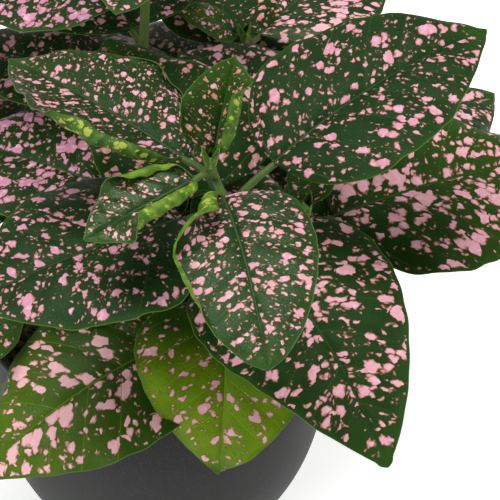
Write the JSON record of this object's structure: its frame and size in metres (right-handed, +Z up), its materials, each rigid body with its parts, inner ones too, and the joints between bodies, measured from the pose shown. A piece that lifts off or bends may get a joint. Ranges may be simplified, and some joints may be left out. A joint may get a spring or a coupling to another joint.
{
  "type": "potted polka dot plant",
  "caption": "Potted polka dot plant with pink-spotted green leaves in a round dark grey planter filled with soil.",
  "frame": {"origin": "centre of the planter's flat base, on the surface it stands on", "axes": "+Z up through the planter's axis; -Y is the front, where the lime leaf hangs over the rim; +X is to the right seen from the front"},
  "size_m": [0.2339, 0.245, 0.1986],
  "materials": {
    "planter": "matte",
    "soil": "matte",
    "foliage": "satin"
  },
  "bodies": {
    "root": {"planter": "planter", "soil": "soil", "shoot_front": "foliage", "shoot_low": "foliage", "shoot_right": "foliage", "shoot_left": "foliage", "shoot_centre": "foliage", "shoot_back": "foliage", "shoot_back_right": "foliage", "shoot_far": "foliage", "shoot_back_left": "foliage"}
  },
  "joints": []
}
